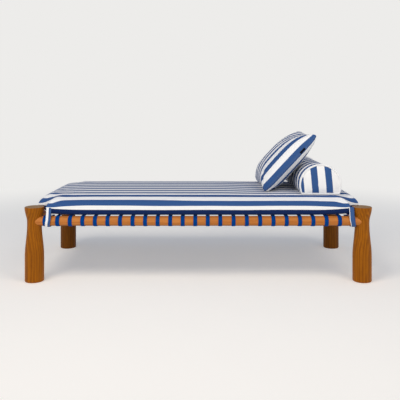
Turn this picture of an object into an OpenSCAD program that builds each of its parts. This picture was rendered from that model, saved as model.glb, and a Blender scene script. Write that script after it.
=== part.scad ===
// Sun lounger: four turned legs, round rails wrapped with webbing, a tied-on mattress,
// a D-shaped bolster lying across the head end and a square cushion that leans on it.
// The length runs along X with the head at +X, the front is at -Y, and the floor is Z = 0.

/* [Frame] */
// Overall length, over the legs
bed_length = 2002; // [1800:2:2200]
// Overall width, over the legs
bed_width = 902; // [800:2:1000]
// Height of the tops of the legs
leg_h = 428; // [408:1:470]
// Height of the middle of the rails
rail_z = 348; // [330:1:360]
// Diameter of the rails
rail_d = 56; // [48:1:60]
// How far the rails stand outwards of the middle of the legs
rail_out = 11; // [6:0.5:12]

/* [Legs] */
// Diameter of the foot of a leg
leg_foot_d = 108; // [90:1:116]
// Diameter of the waist of a leg, where the rails meet it
leg_waist_d = 82; // [78:1:88]
// Diameter of the top of a leg
leg_top_d = 110; // [96:1:120]
// Height of the straight part of the foot
leg_foot_h = 140; // [60:5:200]
// Height of the waist
leg_waist_h = 12; // [6:1:20]
// How far the waist starts below the middle of the rails
leg_waist_below = 20; // [10:1:26]
// Radius of the rounded rim at the top
leg_top_round = 3; // [1:0.5:5]
// Radius of the rounded rim at the foot
leg_foot_round = 5; // [1:0.5:8]
// Depth of the dish turned in the top
leg_dish = 1.5; // [0.5:0.5:3]

/* [Joinery] */
// Diameter of the round tenons on the rails
tenon_d = 30; // [24:1:32]
// Length of the tenons past the skin of the waist
tenon_l = 34; // [26:1:36]
// Diameter of the bed bolts
bolt_d = 8; // [6:1:10]
// Diameter of the bolt heads
bolt_head_d = 13; // [10:1:15]
// Height of the bolt heads
bolt_head_h = 8; // [5:1:10]
// Thickness of the washers
washer_t = 1.5; // [1:0.5:2.5]
// Thickness of the wooden plugs over the bolt heads
plug_t = 8; // [5:1:9]
// Diameter of the barrel nuts in the rails
barrel_d = 14; // [12:1:16]
// Length of the barrel nuts
barrel_l = 30; // [20:1:34]
// Distance of the barrel nuts from the skin of the waist
barrel_in = 50; // [40:1:60]
// Diameter of the foot glides
glide_d = 60; // [30:1:80]
// Thickness of the foot glides
glide_t = 4; // [2:0.5:6]
// How far the foot glides stand proud of the wood
glide_proud = 1; // [0.5:0.5:1.5]

/* [Webbing] */
// Width of the straps
strap_w = 22.5; // [16:0.5:26]
// Thickness of the straps
strap_t = 2.5; // [1.5:0.5:3]
// Gap between the foot legs and the first cross strap
strap_foot_gap = 11; // [2:0.5:20]
// Gap between the head legs and the last cross strap
strap_head_gap = 2; // [2:0.5:20]
// Spacing at the head over spacing at the foot
strap_spread = 1.06; // [1:0.01:1.15]
// Spacing of the long straps
long_pitch = 100; // [80:1:104]
// Angle at which a wrapped strap ends under the inner side of its rail
strap_end_angle = 10; // [5:1:20]
// Angle from there to the tack that holds the end
tack_back_angle = 12; // [8:1:30]
// Diameter of the tack heads
tack_head_d = 9; // [6:0.5:11]
// Height of the tack heads
tack_head_h = 1.4; // [1:0.1:2]
// Diameter of the tack shanks
tack_d = 3; // [2:0.5:4]
// Length of the tack shanks in the wood
tack_l = 14; // [8:1:20]

/* [Mattress] */
// How far the seam stays inside the outer end of the legs
mattress_end_in = 51; // [46:1:60]
// How far the seam stays inside the outer side of the legs
mattress_side_in = 25; // [22:1:40]
// Height of the sewn edge above the underside
mattress_seam_h = 33; // [28:1:40]
// Thickness of the mattress
mattress_t = 103; // [90:1:120]
// Width of the rounded shoulder
mattress_shoulder = 150; // [110:5:160]
// Gap between a leg top and the notch round it
notch_gap = 21; // [18:1:26]
// How far the seam rises towards the corners
mattress_lift = 12; // [0:1:16]
// Thickness of the covers
cover_t = 1.5; // [1:0.5:3]
// Width of the corner ties
tie_w = 28; // [18:1:28]
// Thickness of the corner ties
tie_t = 2; // [1.5:0.5:3]

/* [Bolster] */
// Length of the bolster, across the bed
bolster_l = 660; // [560:5:700]
// Middle of the bolster from the middle of the bed, towards the back
bolster_back = 10; // [-20:1:20]
// Width of the bolster
bolster_d = 245; // [200:5:260]
// Height of the bolster
bolster_h = 177; // [165:1:190]
// Middle of the bolster from the middle of the head legs
bolster_in = 222; // [215:1:260]
// Bulge of its two ends
bolster_dome = 10; // [4:1:20]

/* [Cushion] */
// Width of the cushion, across the bed
cushion_w = 536; // [440:2:560]
// Height of the cushion, along its slope
cushion_l = 474; // [430:2:500]
// Thickness of the cushion
cushion_t = 171; // [150:1:176]
// Lean of the cushion from level, in degrees
cushion_lean = 47; // [45:0.5:50]
// Middle of the cushion from the middle of the bed, towards the back
cushion_back = 37; // [0:1:60]
// How far the middle of each edge is drawn in
cushion_draw = 11; // [6:1:20]
// How far its corners are rounded off
cushion_blunt = 14; // [4:1:20]
// Length of the blank tag in the front seam
tag_l = 36; // [20:1:50]
// Height of the tag
tag_h = 13; // [8:1:20]

/* [Hidden] */
CROSS_STRAPS = 25;
CROSS_FOOT_GAPS = 14;
LONG_STRAPS = 7;
function two_digits(n) = str(n < 10 ? "0" : "", n);
CROSS_NAMES = [for (i = [1 : CROSS_STRAPS]) str("cross_strap_", two_digits(i))];
LONG_NAMES = [for (i = [1 : LONG_STRAPS]) str("long_strap_", i)];
$fn = 72;

// Clearances: a snug wood joint, cloth beside cloth or wood, a bolt in its hole, the end of
// that hole past its tip, and a bolt's head in its counterbore
snug = 0.1;
ease = 0.3;
bolt_room = 0.5;
tip_room = 2;
head_room = 1.5;
// More than any thickness that a cut has to pass
past = 60;

// Middle of a leg, and the radii and heights of its outline
leg_x = (bed_length - leg_top_d) / 2;
leg_y = (bed_width - leg_top_d) / 2;
waist_r = leg_waist_d / 2;
waist_low = rail_z - leg_waist_below;
waist_high = waist_low + leg_waist_h;

// Middle lines of the rails, and the skin of the waist on those lines
rail_r = rail_d / 2;
rail_y = leg_y + rail_out;
rail_x = leg_x + rail_out;
waist_reach = sqrt(waist_r * waist_r - rail_out * rail_out);

// A leg's outline from the foot up: a straight foot, a waist and a flared top
function ease_in(t) = (1 - cos(180 * t)) / 2;
function leg_taper(t) = [
    leg_foot_d / 2 + (waist_r - leg_foot_d / 2) * ease_in(t),
    leg_foot_h + (waist_low - leg_foot_h) * t
];
function leg_flare(t) = [
    waist_r + (leg_top_d / 2 - waist_r) * ease_in(t),
    waist_high + (leg_h - leg_top_round - waist_high) * t
];
function rim(r, z, q, from, to) = [
    for (a = [from : (to - from) / 4 : to]) [r + q * cos(a), z + q * sin(a)]
];
function leg_outline(grow) = concat(
    [[0, glide_proud]],
    rim(leg_foot_d / 2 - leg_foot_round + grow, glide_proud + leg_foot_round, leg_foot_round, -90, 0),
    [for (k = [0 : 10]) leg_taper(k / 10) + [grow, 0]],
    [for (k = [0 : 8]) leg_flare(k / 9) + [grow, 0]],
    rim(leg_top_d / 2 - leg_top_round + grow, leg_h - leg_top_round, leg_top_round, 0, 90),
    [[leg_top_d / 2 - 3 * leg_top_round, leg_h - leg_dish * 0.7], [0, leg_h - leg_dish]]
);

// The bolts lie in a counterbore from the outer end of a leg
counterbore_d = bolt_head_d + 2 * head_room;
counterbore = plug_t + bolt_head_h + washer_t;
seat_x = leg_x + waist_reach - counterbore;
barrel_x = leg_x - waist_reach - barrel_in;
bolt_tip = barrel_x - barrel_d;
tenon_end = leg_x - waist_r + tenon_l;
// The end rails' tenons stop short of the side rails' tenons
tenon_apart = 3;
end_rail_end = min(leg_y - waist_r + tenon_l, rail_y - tenon_d / 2 - tenon_apart);

// A child built at the head end of the back is put at any of the four corners
module at_corner(head, back) {
    mirror([head ? 0 : 1, 0, 0])
        mirror([0, back ? 0 : 1, 0])
            children();
}

// A bar along X or along Y from one place to another
module bar_x(d, from, to, y, z) {
    translate([from, y, z]) rotate([0, 90, 0]) cylinder(h = to - from, d = d);
}
module bar_y(d, from, to, x, z) {
    translate([x, from, z]) rotate([-90, 0, 0]) cylinder(h = to - from, d = d);
}

module leg_form(grow = 0) {
    translate([leg_x, leg_y, 0]) rotate_extrude() polygon(leg_outline(grow));
}

module leg() {
    color("saddlebrown") difference() {
        leg_form();
        bar_x(tenon_d + 2 * snug, leg_x - past, tenon_end + snug, rail_y, rail_z);
        bar_x(bolt_d + 2 * bolt_room, tenon_end, leg_x + past, rail_y, rail_z);
        bar_x(counterbore_d, seat_x, leg_x + past, rail_y, rail_z);
        bar_y(tenon_d + 2 * snug, leg_y - past, end_rail_end + snug, rail_x, rail_z);
        translate([leg_x, leg_y, 0]) cylinder(h = glide_t + snug, d = glide_d + 2 * snug);
    }
}

module side_rail() {
    color("peru") difference() {
        union() {
            difference() {
                bar_x(rail_d, -leg_x, leg_x, rail_y, rail_z);
                leg_form(snug);
                mirror([1, 0, 0]) leg_form(snug);
            }
            bar_x(tenon_d, -tenon_end, tenon_end, rail_y, rail_z);
        }
        for (end = [0, 1]) mirror([end, 0, 0]) {
            bar_x(bolt_d + 2 * bolt_room, bolt_tip - tip_room, leg_x + past, rail_y, rail_z);
            bar_y(barrel_d + 2 * snug, rail_y - past, rail_y + barrel_l / 2 + snug, barrel_x, rail_z);
        }
        for (i = [0 : CROSS_STRAPS - 1]) translate([cross_x(i), 0, 0]) cross_tack_hole();
    }
}

module end_rail() {
    color("peru") difference() {
        union() {
            difference() {
                bar_y(rail_d, -leg_y, leg_y, rail_x, rail_z);
                leg_form(snug);
                mirror([0, 1, 0]) leg_form(snug);
            }
            bar_y(tenon_d, -end_rail_end, end_rail_end, rail_x, rail_z);
        }
        for (j = [0 : LONG_STRAPS - 1]) translate([0, long_y(j), 0]) long_tack_hole();
    }
}

// The webbing: places of the straps, and the radii of their wraps round the rails
wrap_in = rail_r + snug;
wrap_out = wrap_in + strap_t;
deck_z = rail_z + wrap_out;
leg_near = leg_flare((deck_z - waist_high) / (leg_h - leg_top_round - waist_high))[0];
strap_foot_in = leg_near + strap_foot_gap + strap_w / 2;
strap_head_in = leg_near + strap_head_gap + strap_w / 2;
strap_pitch = (2 * leg_x - strap_foot_in - strap_head_in)
    / (CROSS_FOOT_GAPS + strap_spread * (CROSS_STRAPS - 1 - CROSS_FOOT_GAPS));
function cross_x(i) = strap_foot_in - leg_x
    + strap_pitch * (min(i, CROSS_FOOT_GAPS) + strap_spread * max(i - CROSS_FOOT_GAPS, 0));
function long_y(j) = (j - (LONG_STRAPS - 1) / 2) * long_pitch;

// The wrap seen along the rail: from the top over the outer side and below to the inner side
module wrap_section() {
    difference() {
        circle(wrap_out);
        circle(wrap_in);
        polygon([
            [0, 0],
            [0, past],
            [-past, past],
            [-past, -past * tan(strap_end_angle)]
        ]);
    }
}

// Tacks go in near the end of each wrap, square to the rail's skin
tack_angle = strap_end_angle + tack_back_angle;
module at_tack() {
    rotate([0, 0, 180 + tack_angle]) translate([wrap_in, 0, 0]) children();
}

module upright_x() {
    rotate([90, 0, 90]) children();
}
module upright_y() {
    rotate([90, 0, 0]) children();
}

module cross_strap(i) {
    color("royalblue") translate([cross_x(i), 0, 0]) difference() {
        upright_x() linear_extrude(strap_w, center = true) {
            translate([-rail_y, rail_z + wrap_in]) square([2 * rail_y, strap_t]);
            translate([rail_y, rail_z]) wrap_section();
            mirror([1, 0]) translate([rail_y, rail_z]) wrap_section();
        }
        cross_tack_hole();
        mirror([0, 1, 0]) cross_tack_hole();
    }
}

// A long strap passes over and under the cross straps in turn
weave = strap_t + ease;
function long_level(i, j) = ((i + j) % 2 == 0 ? 1 : -1) * weave;
function weave_line(j) = concat(
    [[-rail_x, 0]],
    [for (i = [0 : CROSS_STRAPS - 1]) for (side = [-1, 1])
        [cross_x(i) + side * (strap_w / 2 + weave), long_level(i, j)]],
    [[rail_x, 0]]
);
module long_strap(j) {
    line = weave_line(j);
    back = [for (k = [len(line) - 1 : -1 : 0]) line[k]];
    color("royalblue") translate([0, long_y(j), 0]) difference() {
        upright_y() linear_extrude(strap_w, center = true) {
            translate([0, rail_z + wrap_in])
                polygon(concat(line, [for (p = back) p + [0, strap_t]]));
            translate([rail_x, rail_z]) wrap_section();
            mirror([1, 0]) translate([rail_x, rail_z]) wrap_section();
        }
        long_tack_hole();
        mirror([1, 0, 0]) long_tack_hole();
    }
}

// A tack, with its shank down the middle line and its head outside the strap
module tack() {
    rotate([0, 90, 0]) {
        translate([0, 0, -tack_l]) cylinder(h = tack_l + strap_t + ease, d = tack_d, $fn = 24);
        translate([0, 0, strap_t + ease])
            cylinder(h = tack_head_h, d1 = tack_head_d, d2 = tack_head_d * 0.6, $fn = 24);
    }
}
module tack_hole() {
    rotate([0, 90, 0]) translate([0, 0, -tack_l - snug])
        cylinder(h = tack_l + 2 * strap_t, d = tack_d + 2 * snug, $fn = 24);
}
module cross_seat() {
    upright_x() translate([rail_y, rail_z, 0]) at_tack() children();
}
module long_seat() {
    upright_y() translate([rail_x, rail_z, 0]) at_tack() children();
}
module cross_tack_hole() {
    cross_seat() tack_hole();
}
module long_tack_hole() {
    long_seat() tack_hole();
}
module strap_tacks() {
    color("dimgray") {
        for (i = [0 : CROSS_STRAPS - 1], side = [0, 1])
            translate([cross_x(i), 0, 0]) mirror([0, side, 0]) cross_seat() tack();
        for (j = [0 : LONG_STRAPS - 1], side = [0, 1])
            translate([0, long_y(j), 0]) mirror([side, 0, 0]) long_seat() tack();
    }
}

module for_corners() {
    for (head = [false, true], back = [false, true]) at_corner(head, back) children();
}

module bed_bolts() {
    color("silver") for_corners() {
        bar_x(bolt_d, bolt_tip, seat_x + washer_t, rail_y, rail_z);
        difference() {
            bar_x(bolt_head_d, seat_x + washer_t, seat_x + washer_t + bolt_head_h, rail_y, rail_z);
            translate([seat_x + washer_t + bolt_head_h / 2, rail_y, rail_z]) rotate([0, 90, 0])
                cylinder(h = bolt_head_h, d = bolt_d * 0.86, $fn = 6);
        }
    }
}

module bolt_washers() {
    color("silver") for_corners() difference() {
        bar_x(bolt_head_d + head_room, seat_x, seat_x + washer_t, rail_y, rail_z);
        bar_x(bolt_d + 2 * snug, seat_x - washer_t, seat_x + 2 * washer_t, rail_y, rail_z);
    }
}

module barrel_nuts() {
    color("silver") for_corners() difference() {
        bar_y(barrel_d, rail_y - barrel_l / 2, rail_y + barrel_l / 2, barrel_x, rail_z);
        bar_x(bolt_d + 2 * snug, barrel_x - barrel_d, barrel_x + barrel_d, rail_y, rail_z);
    }
}

module bolt_plugs() {
    color("saddlebrown") for_corners() intersection() {
        bar_x(counterbore_d - 2 * snug, seat_x + washer_t + bolt_head_h, leg_x + past, rail_y, rail_z);
        leg_form();
    }
}

module foot_glides() {
    color("black") for_corners() translate([leg_x, leg_y, 0]) {
        cylinder(h = glide_proud, d1 = glide_d - 2 * glide_proud, d2 = glide_d);
        translate([0, 0, glide_proud]) cylinder(h = glide_t - glide_proud, d = glide_d);
    }
}

// A closed skin over a stack of rings, each ring anticlockwise seen from the last one
module skin(rings) {
    n = len(rings[0]);
    last = len(rings) - 1;
    points = concat([for (ring = rings) each ring], [middle(rings[0]), middle(rings[last])]);
    low = n * (last + 1);
    faces = concat(
        [for (i = [0 : last - 1], j = [0 : n - 1])
            [i * n + j, (i + 1) * n + j, (i + 1) * n + (j + 1) % n]],
        [for (i = [0 : last - 1], j = [0 : n - 1])
            [i * n + j, (i + 1) * n + (j + 1) % n, i * n + (j + 1) % n]],
        [for (j = [0 : n - 1]) [low, j, (j + 1) % n]],
        [for (j = [0 : n - 1]) [low + 1, last * n + (j + 1) % n, last * n + j]]
    );
    polyhedron(points = points, faces = faces);
}
function middle(ring) = [for (axis = [0 : 2]) sum([for (p = ring) p[axis]]) / len(ring)];
function sum(list, k = 0) = k < len(list) ? list[k] + sum(list, k + 1) : 0;

// The mattress: its seam line, and its cross-section as steps inwards and upwards
mattress_x = bed_length / 2 - mattress_end_in;
mattress_y = bed_width / 2 - mattress_side_in;
mattress_low = deck_z + weave + ease;
seam_z = mattress_low + mattress_seam_h;
mattress_top = mattress_low + mattress_t;
notch_r = leg_top_d / 2 + notch_gap;
NOTCH_STEPS = 5;
EDGE_STEPS = 4;
// Share of the height over the seam at each share of the shoulder
top_steps = [[0.015, 0.24], [0.045, 0.44], [0.11, 0.62], [0.22, 0.77], [0.4, 0.89], [0.68, 0.97], [1, 1]];
// Share of the height under the seam at each share of the lower curve
lower_curve = mattress_shoulder * 0.4;
low_steps = [[1, 1], [0.42, 0.93], [0.15, 0.72], [0.04, 0.4]];

function notch_angle(off, r) = asin(min(off / r, 0.99));
function notch_arc(hx, hy, r) = [
    let (from = 180 - notch_angle(hy - leg_y, r), to = 270 + notch_angle(hx - leg_x, r))
    for (k = [NOTCH_STEPS : -1 : 0])
        let (a = from + (to - from) * k / NOTCH_STEPS)
        [leg_x + r * cos(a), leg_y + r * sin(a)]
];
function along(a, b) = [for (k = [1 : EDGE_STEPS - 1]) a + (b - a) * k / EDGE_STEPS];
function turned(arc, sx, sy) = [for (p = sx * sy > 0 ? arc : [for (k = [len(arc) - 1 : -1 : 0]) arc[k]])
    [p[0] * sx, p[1] * sy]];
function joined(a, b, c, d) = concat(
    a, along(a[len(a) - 1], b[0]),
    b, along(b[len(b) - 1], c[0]),
    c, along(c[len(c) - 1], d[0]),
    d, along(d[len(d) - 1], a[0])
);
// The edge rises towards the notches, and least where it is far in from the seam
lift_reach = 220;
function corner_lift(p) =
    let (off = norm([abs(p[0]) - leg_x, abs(p[1]) - leg_y]) - notch_r)
    mattress_lift * pow(max(1 - off / lift_reach, 0), 2);
function notched(inset, step, z) =
    let (
        arc = notch_arc(mattress_x - inset - step, mattress_y - inset - step, notch_r + inset + step),
        share = max(1 - step / lower_curve, 0)
    )
    [for (p = joined(turned(arc, 1, 1), turned(arc, -1, 1), turned(arc, -1, -1), turned(arc, 1, -1)))
        [p[0], p[1], z + share * corner_lift(p)]];
module mattress_form(inset) {
    rise = mattress_top - inset - seam_z;
    drop = seam_z - mattress_low - inset;
    skin(concat(
        [for (s = low_steps) notched(inset, lower_curve * s[0], seam_z - drop * s[1])],
        [notched(inset, 0, seam_z)],
        [for (s = top_steps) notched(inset, mattress_shoulder * s[0], seam_z + rise * s[1])]
    ));
}

module mattress_cover() {
    color("aliceblue") difference() {
        mattress_form(0);
        mattress_form(cover_t);
    }
}
module mattress_core() {
    color("khaki") mattress_form(cover_t + ease);
}

// A corner tie: from the seam down over the front of the rail, under it and up behind it.
// Its middle shifts along the rail, given from the middle of the leg. It clears the tack heads.
tie_foot = [92, 80, 98];
tie_head = [74, 58, 88];
tie_r = wrap_out + tack_head_h + 2 * ease + tie_t / 2;
TIE_STEPS = 18;
tie_top = [mattress_y + tie_t / 2 + ease, seam_z + corner_lift([leg_x - tie_foot[0], mattress_y])];
function tie_arc(k) =
    let (a = 20 - 215 * k / TIE_STEPS)
    [rail_y + tie_r * cos(a), rail_z + tie_r * sin(a)];
tie_tail = 2;
tie_end = [rail_y - tie_r - tie_tail / 2, rail_z + rail_r + tie_tail];
tie_line = concat([tie_top], [for (k = [0 : TIE_STEPS]) tie_arc(k)], [tie_end]);
function tie_shift(k, ins) = let (t = k / (len(tie_line) - 1))
    t < 0.5 ? ins[0] + (ins[1] - ins[0]) * 2 * t : ins[1] + (ins[2] - ins[1]) * (2 * t - 1);
function tie_normal(k) =
    let (d = tie_line[min(k + 1, len(tie_line) - 1)] - tie_line[max(k - 1, 0)])
    [-d[1], d[0]] / norm(d);
function tie_ring(k, ins) = let (
    p = tie_line[k],
    q = tie_normal(k) * tie_t / 2,
    x = leg_x - tie_shift(k, ins),
    w = tie_w / 2
) [
    [x - w, p[0] + q[0], p[1] + q[1]],
    [x + w, p[0] + q[0], p[1] + q[1]],
    [x + w, p[0] - q[0], p[1] - q[1]],
    [x - w, p[0] - q[0], p[1] - q[1]]
];
module tie(ins) {
    color("white") skin([for (k = [len(tie_line) - 1 : -1 : 0]) tie_ring(k, ins)]);
}

// The bolster: a circle cut by its flat base, carried along Y between domed ends
bolster_x = leg_x - bolster_in;
bolster_r = bolster_d / 2;
bolster_base = mattress_top + ease;
bolster_mid = bolster_base + bolster_h - bolster_r;
BOLSTER_ARC = 24;
BOLSTER_FLAT = 5;
bolster_ends = [[0.45, 1], [0.8, 0.62], [0.96, 0.2]];
function bolster_ring(y, scale, inset) =
    let (
        r = (bolster_r - inset) * scale,
        low = bolster_mid - (bolster_mid - bolster_base - inset) * scale,
        dip = asin((bolster_mid - low) / r)
    )
    concat(
        [for (k = [0 : BOLSTER_ARC])
            let (a = 180 + dip - (180 + 2 * dip) * k / BOLSTER_ARC)
            [bolster_x + r * cos(a), y, bolster_mid + r * sin(a)]],
        [for (k = [1 : BOLSTER_FLAT - 1])
            [bolster_x + r * cos(dip) * (1 - 2 * k / BOLSTER_FLAT), y, low]]
    );
module bolster_form(inset) {
    body = bolster_l / 2 - bolster_dome - inset;
    skin(concat(
        [for (e = bolster_ends) bolster_ring(bolster_back - body - bolster_dome * e[1], e[0], inset)],
        [for (t = [-1, -0.97, -0.5, 0, 0.5, 0.97, 1])
            bolster_ring(bolster_back + body * t, abs(t) == 1 ? 0.985 : 1, inset)],
        [for (k = [len(bolster_ends) - 1 : -1 : 0])
            let (e = bolster_ends[k])
            bolster_ring(bolster_back + body + bolster_dome * e[1], e[0], inset)]
    ));
}
module bolster_cover() {
    color("aliceblue") difference() {
        bolster_form(0);
        bolster_form(cover_t);
    }
}
module bolster_core() {
    color("khaki") bolster_form(cover_t + ease);
}

// The cushion: two crowned faces sewn together at a square edge with blunt corners.
// Its lower face rests on the bolster, and near its lower edge on the mattress.
CUSHION_STEPS = 14;
lean_dir = [cos(cushion_lean), 0, sin(cushion_lean)];
lean_up = [-sin(cushion_lean), 0, cos(cushion_lean)];
function crown(a) = pow(max(1 - pow(abs(a), 2.8), 0), 0.46);
function drawn(a) = 1 - a * a;
function cushion_spot(i, j, side, inset) =
    let (
        a = sin(90 * (2 * i / CUSHION_STEPS - 1)),
        b = sin(90 * (2 * j / CUSHION_STEPS - 1)),
        blunt = cushion_blunt * pow(a * b, 8),
        across = a * (cushion_w / 2 - inset - cushion_draw * drawn(b) - blunt),
        up = b * (cushion_l / 2 - inset - cushion_draw * drawn(a) - blunt),
        out = side * (cushion_t / 2 - inset) * crown(a) * crown(b)
    )
    [0, across, 0] + up * lean_dir + out * lean_up;
cushion_low = min([for (i = [0 : CUSHION_STEPS], j = [0 : CUSHION_STEPS]) cushion_spot(i, j, -1, 0)[2]]);

// How far up the slope the bolster is met, from the cushion's middle, for a distance off its axis
function met_at(off) =
    (bolster_mid + off * lean_up[2] + cushion_low - mattress_top - ease) / lean_dir[2];
full_off = bolster_r + cushion_t / 2;
cushion_off = bolster_r + cushion_t / 2 * crown(2 * met_at(full_off) / cushion_l) + ease;
cushion_mid = [bolster_x, cushion_back, bolster_mid] + cushion_off * lean_up
    - met_at(cushion_off) * lean_dir;
function cushion_point(i, j, side, inset) = cushion_mid + cushion_spot(i, j, side, inset);
function on_edge(i) = i == 0 || i == CUSHION_STEPS;
function cushion_index(i, j, top) = top || on_edge(i) || on_edge(j)
    ? i * (CUSHION_STEPS + 1) + j
    : (CUSHION_STEPS + 1) * (CUSHION_STEPS + 1) + (i - 1) * (CUSHION_STEPS - 1) + j - 1;
// Each square of the grid is cut towards its nearest corner, so that no corner is cut off flat
module cushion_form(inset) {
    n = CUSHION_STEPS;
    points = concat(
        [for (i = [0 : n], j = [0 : n]) cushion_point(i, j, 1, inset)],
        [for (i = [1 : n - 1], j = [1 : n - 1]) cushion_point(i, j, -1, inset)]
    );
    faces = [for (i = [0 : n - 1], j = [0 : n - 1], top = [true, false], half = [0, 1])
        let (
            p = cushion_index(i, j, top),
            q = cushion_index(i + 1, j, top),
            r = cushion_index(i + 1, j + 1, top),
            s = cushion_index(i, j + 1, top),
            outward = (i < n / 2) == (j < n / 2),
            tri = outward ? (half == 0 ? [p, q, r] : [p, r, s]) : (half == 0 ? [p, q, s] : [q, r, s])
        )
        top ? tri : [tri[0], tri[2], tri[1]]];
    polyhedron(points = points, faces = faces);
}
module cushion_cover() {
    color("aliceblue") difference() {
        cushion_form(0);
        cushion_form(cover_t);
    }
}
module cushion_core() {
    color("khaki") cushion_form(cover_t + ease);
}

// The tag stands up from the front seam, above its middle, and meets it with its upper end
tag_t = 1;
tag_up = 110;
module cushion_tag() {
    seam = cushion_w / 2 - cushion_draw * drawn((2 * tag_up + tag_l) / cushion_l);
    color("black") translate(cushion_mid - [0, seam + tag_t + ease, 0])
        rotate([0, -cushion_lean, 0]) translate([tag_up - tag_l / 2, 0, -tag_t]) cube([tag_l, tag_t, tag_h]);
}

at_corner(false, false) leg();  // leg_foot_front
at_corner(false, true) leg();  // leg_foot_back
at_corner(true, false) leg();  // leg_head_front
at_corner(true, true) leg();  // leg_head_back
mirror([0, 1, 0]) side_rail();  // side_rail_front
side_rail();  // side_rail_back
mirror([1, 0, 0]) end_rail();  // end_rail_foot
end_rail();  // end_rail_head
for (i = [0 : CROSS_STRAPS - 1]) cross_strap(i);
for (j = [0 : LONG_STRAPS - 1]) long_strap(j);
strap_tacks();
bed_bolts();
bolt_washers();
barrel_nuts();
bolt_plugs();
foot_glides();
mattress_cover();
mattress_core();
at_corner(false, false) tie(tie_foot);  // tie_foot_front
at_corner(false, true) tie(tie_foot);  // tie_foot_back
at_corner(true, false) tie(tie_head);  // tie_head_front
at_corner(true, true) tie(tie_head);  // tie_head_back
bolster_cover();
bolster_core();
cushion_cover();
cushion_core();
cushion_tag();
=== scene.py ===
"""The looks of a sun lounger: turned wood, woven webbing, striped covers and a plain studio.

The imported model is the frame, and every piece here is in its metres.
"""
import math

import bmesh
import bpy
from bpy.props import FloatProperty, FloatVectorProperty, PointerProperty
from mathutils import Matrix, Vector, noise


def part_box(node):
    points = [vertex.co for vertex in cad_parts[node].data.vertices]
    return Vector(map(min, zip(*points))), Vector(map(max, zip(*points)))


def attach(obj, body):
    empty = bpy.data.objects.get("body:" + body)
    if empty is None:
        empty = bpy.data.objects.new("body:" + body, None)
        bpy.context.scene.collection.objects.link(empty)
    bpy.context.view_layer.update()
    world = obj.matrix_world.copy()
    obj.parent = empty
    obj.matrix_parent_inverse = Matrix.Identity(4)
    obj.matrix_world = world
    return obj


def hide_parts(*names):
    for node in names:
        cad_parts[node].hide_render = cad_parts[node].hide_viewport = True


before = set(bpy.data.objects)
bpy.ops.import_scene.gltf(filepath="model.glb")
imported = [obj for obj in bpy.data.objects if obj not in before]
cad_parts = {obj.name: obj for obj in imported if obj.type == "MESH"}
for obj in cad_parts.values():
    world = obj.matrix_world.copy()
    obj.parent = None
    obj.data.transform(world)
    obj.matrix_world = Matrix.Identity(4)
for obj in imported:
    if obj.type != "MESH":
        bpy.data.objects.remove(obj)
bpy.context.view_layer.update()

bl_info = {
    "name": "Sun lounger looks",
    "version": (1, 0, 0),
    "blender": (4, 5, 0),
    "location": "3D View > Sidebar > Lounger",
    "description": "Dresses the packed sun lounger in wood, webbing and striped cloth",
    "category": "Object",
}

CORNERS = ("foot_front", "foot_back", "head_front", "head_back")
CROSS_NODES = [f"cross_strap_{i:02d}" for i in range(1, 26)]
LONG_NODES = [f"long_strap_{j}" for j in range(1, 8)]
LEGS = [f"leg_{corner}" for corner in CORNERS]


def linear(red, green, blue):
    """A colour written in 0 to 255 screen values, as the linear values that a shader takes."""
    return [((c / 255 + 0.055) / 1.055) ** 2.4 if c > 10 else c / 3295 for c in (red, green, blue)]


def shade(rgb, share):
    """A colour with this share of its light."""
    return [part * share for part in rgb]


def middle(node):
    low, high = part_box(node)
    return (low + high) / 2


def half(node):
    low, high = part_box(node)
    return (high - low) / 2


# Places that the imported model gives
LEG = middle("leg_head_back")
LEG_R = half("leg_head_back").x
RAIL = middle("side_rail_back")
RAIL_R = half("side_rail_back").z
END_RAIL = middle("end_rail_head")
STRAP_W = 2 * half(CROSS_NODES[0]).x
MATTRESS = half("mattress_cover")
MATTRESS_LOW, MATTRESS_TOP = (corner.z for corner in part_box("mattress_cover"))
BOLSTER = middle("bolster_cover")
BOLSTER_R = half("bolster_cover").x
BOLSTER_HALF = half("bolster_cover").y
BOLSTER_LOW, BOLSTER_TOP = (corner.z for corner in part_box("bolster_cover"))
BOLSTER_AXIS = BOLSTER_TOP - BOLSTER_R
CUSHION = middle("cushion_cover")


def size(name, default, description):
    """A length that the panel shows, in metres."""
    return FloatProperty(
        name=name, default=default, description=description, unit="LENGTH", precision=4, min=0.0
    )


def colour(name, rgb, description):
    """A colour that the panel shows, from screen values."""
    return FloatVectorProperty(
        name=name, default=linear(*rgb), description=description, subtype="COLOR", min=0, max=1
    )


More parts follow.
